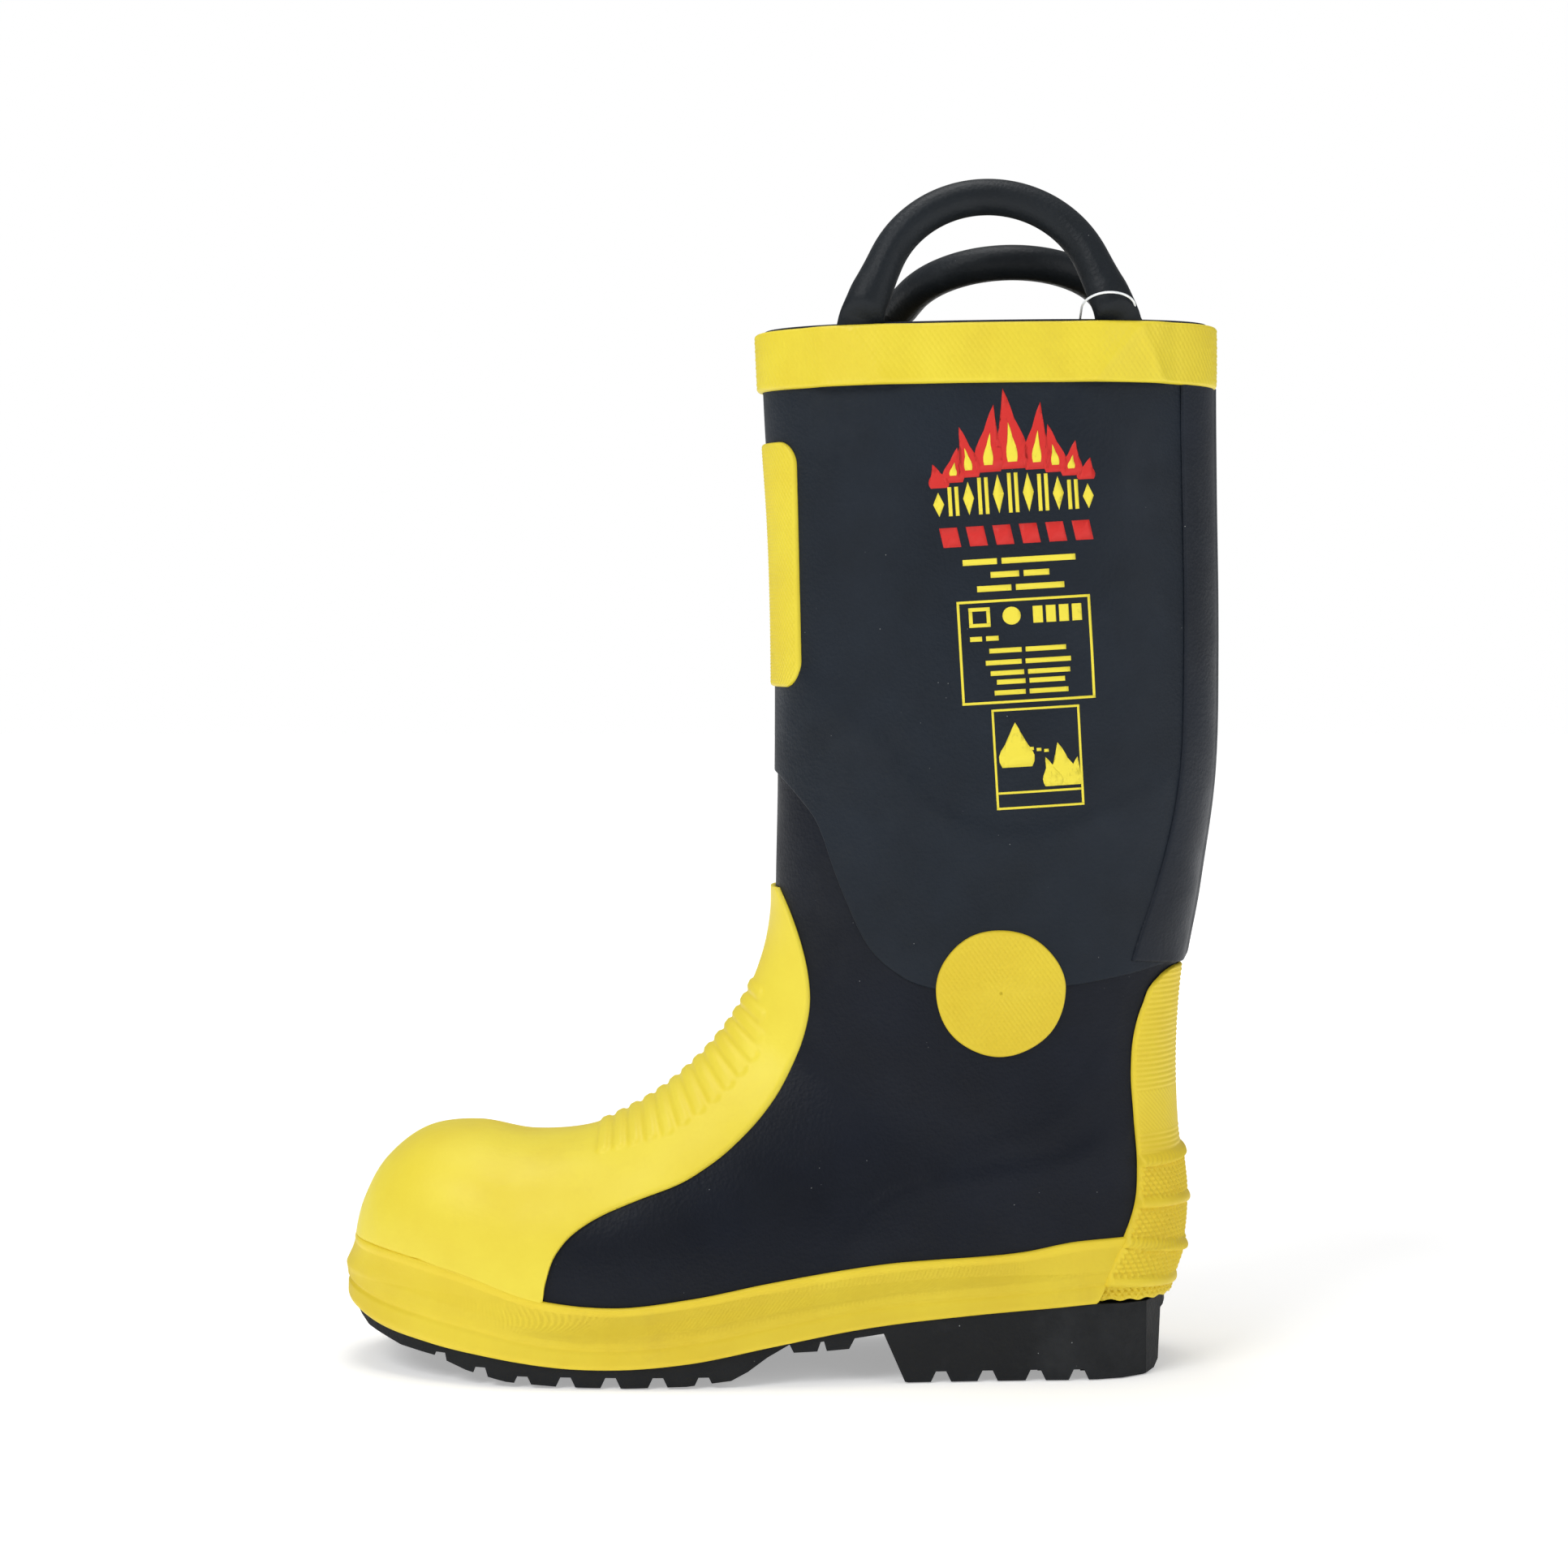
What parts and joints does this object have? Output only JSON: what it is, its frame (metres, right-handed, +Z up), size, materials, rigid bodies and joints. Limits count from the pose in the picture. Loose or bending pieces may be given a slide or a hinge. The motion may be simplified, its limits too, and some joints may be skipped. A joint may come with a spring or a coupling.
{
  "type": "fire boots",
  "caption": "Tall rubber fire boot with ribbed yellow toe cover, heel guard, foxing, shin patch, ankle discs, collar band, steel toecap and two flexible pull handles.",
  "frame": {"origin": "middle of the heel's ground contact", "axes": "+Z up, toe towards -X, outer (lateral) side of this left boot towards -Y"},
  "size_m": [0.3232, 0.1086, 0.4333],
  "materials": {
    "sole_rubber": "satin black",
    "cork_filler": "granular",
    "steel": "brushed",
    "board": "fibrous",
    "footbed_foam": "textile over foam",
    "foot_rubber": "satin, fine leather grain",
    "leg_rubber": "satin, fine leather grain",
    "inner_rubber": "matte",
    "felt": "felt",
    "lining_fabric": "knitted",
    "yellow_rubber": "satin, fine diamond texture",
    "handle_rubber": "satin",
    "cord": "braided",
    "filament": "clear"
  },
  "bodies": {
    "boot": {"outsole": "sole_rubber", "heel_core": "cork_filler", "midsole_filler": "cork_filler", "steel_midsole": "steel", "insole_board": "board", "foot_upper": "foot_rubber", "leg_upper": "leg_rubber", "leg_inner_ply": "inner_rubber", "leg_insulation": "felt", "ankle_reinforcement": "inner_rubber", "heel_counter": "board", "steel_toecap": "steel", "toecap_edge_strip": "inner_rubber", "lining": "lining_fabric", "toe_vamp_cover": "yellow_rubber", "foxing_strip": "yellow_rubber", "heel_guard": "yellow_rubber", "back_strip": "leg_rubber", "shin_patch": "yellow_rubber", "ankle_disc_lateral": "yellow_rubber", "ankle_disc_medial": "yellow_rubber", "collar_band": "yellow_rubber", "handle_anchor_lateral": "handle_rubber", "handle_anchor_medial": "handle_rubber"},
    "handle_lateral": {"handle_lateral": "handle_rubber", "handle_core_lateral": "cord"},
    "handle_medial": {"handle_medial": "handle_rubber", "handle_core_medial": "cord"},
    "footbed": {"footbed": "footbed_foam"},
    "tag_loop": {"tag_loop": "filament"}
  },
  "joints": [
    {"name": "handle_lateral_flex", "type": "hinge", "parent": "boot", "child": "handle_lateral", "pos_m": [-0.0168, -0.0381, 0.3895], "axis": [1, 0, 0], "range_deg": [-20, 35], "stiffness_Nm_per_rad": 0.4},
    {"name": "handle_medial_flex", "type": "hinge", "parent": "boot", "child": "handle_medial", "pos_m": [-0.0058, 0.0381, 0.3895], "axis": [1, 0, 0], "range_deg": [-75, 2], "stiffness_Nm_per_rad": 0.4},
    {"name": "footbed_lift", "type": "slide", "parent": "boot", "child": "footbed", "axis": [0, 0, 1], "range_m": [0, 0.01]},
    {"name": "tag_loop_swing", "type": "hinge", "parent": "boot", "child": "tag_loop", "pos_m": [0.0264, -0.0381, 0.3895], "axis": [1, 0, 0], "range_deg": [0, 20]}
  ]
}
